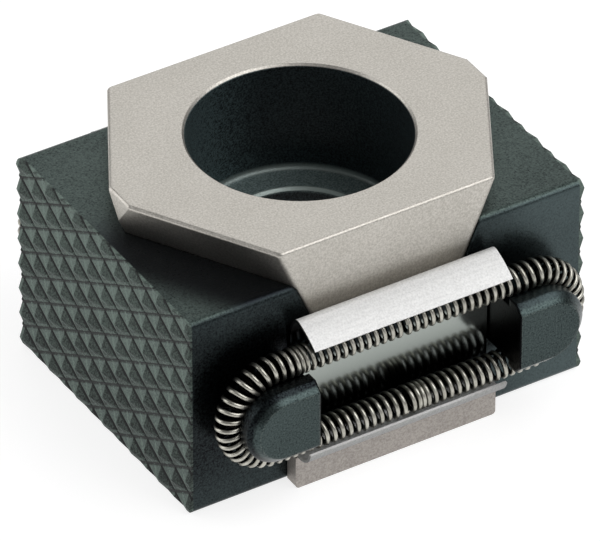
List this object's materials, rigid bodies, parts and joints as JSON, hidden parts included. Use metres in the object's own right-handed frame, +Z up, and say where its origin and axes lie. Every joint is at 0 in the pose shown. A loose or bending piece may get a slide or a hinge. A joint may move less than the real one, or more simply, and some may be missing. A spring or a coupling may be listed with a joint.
{
  "type": "fixture clamp",
  "caption": "Low-profile wedge clamp: a screw pulls the upper wedge down to spread opposed serrated jaws, which looped coil springs draw back.",
  "frame": {"origin": "centre of the base on the screw axis, at the level the clamp stands on", "axes": "+X the way the right jaw clamps, -Y the front spring side seen in the picture, +Z up along the screw axis"},
  "size_m": [0.0406, 0.0402, 0.0245],
  "materials": {
    "blackened_steel": "black oxide over a fine cast surface",
    "wedge_steel": "fine blasted",
    "sheet_steel": "polished",
    "spring_steel": "drawn wire"
  },
  "bodies": {
    "base": {"lower_wedge": "wedge_steel", "front_spring_guard": "sheet_steel", "rear_spring_guard": "sheet_steel", "front_spring": "spring_steel", "rear_spring": "spring_steel"},
    "upper_wedge": {"upper_wedge": "wedge_steel"},
    "left_jaw": {"left_jaw": "blackened_steel"},
    "right_jaw": {"right_jaw": "blackened_steel"}
  },
  "joints": [
    {"name": "wedge_drop", "type": "slide", "parent": "base", "child": "upper_wedge", "axis": [0, 0, -1], "range_m": [0, 0.0035], "stiffness_N_per_m": 2000, "springref_m": -0.002},
    {"name": "left_jaw_slide", "type": "slide", "parent": "base", "child": "left_jaw", "axis": [-1, 0, 0], "range_m": [0, 0.00148], "deforming": ["front_spring", "rear_spring"]},
    {"name": "right_jaw_slide", "type": "slide", "parent": "base", "child": "right_jaw", "axis": [1, 0, 0], "range_m": [0, 0.00148], "deforming": ["front_spring", "rear_spring"]}
  ],
  "couplings": [
    {"joint": "left_jaw_slide", "follows": "wedge_drop", "ratio": 0.4203},
    {"joint": "right_jaw_slide", "follows": "wedge_drop", "ratio": 0.4203}
  ]
}
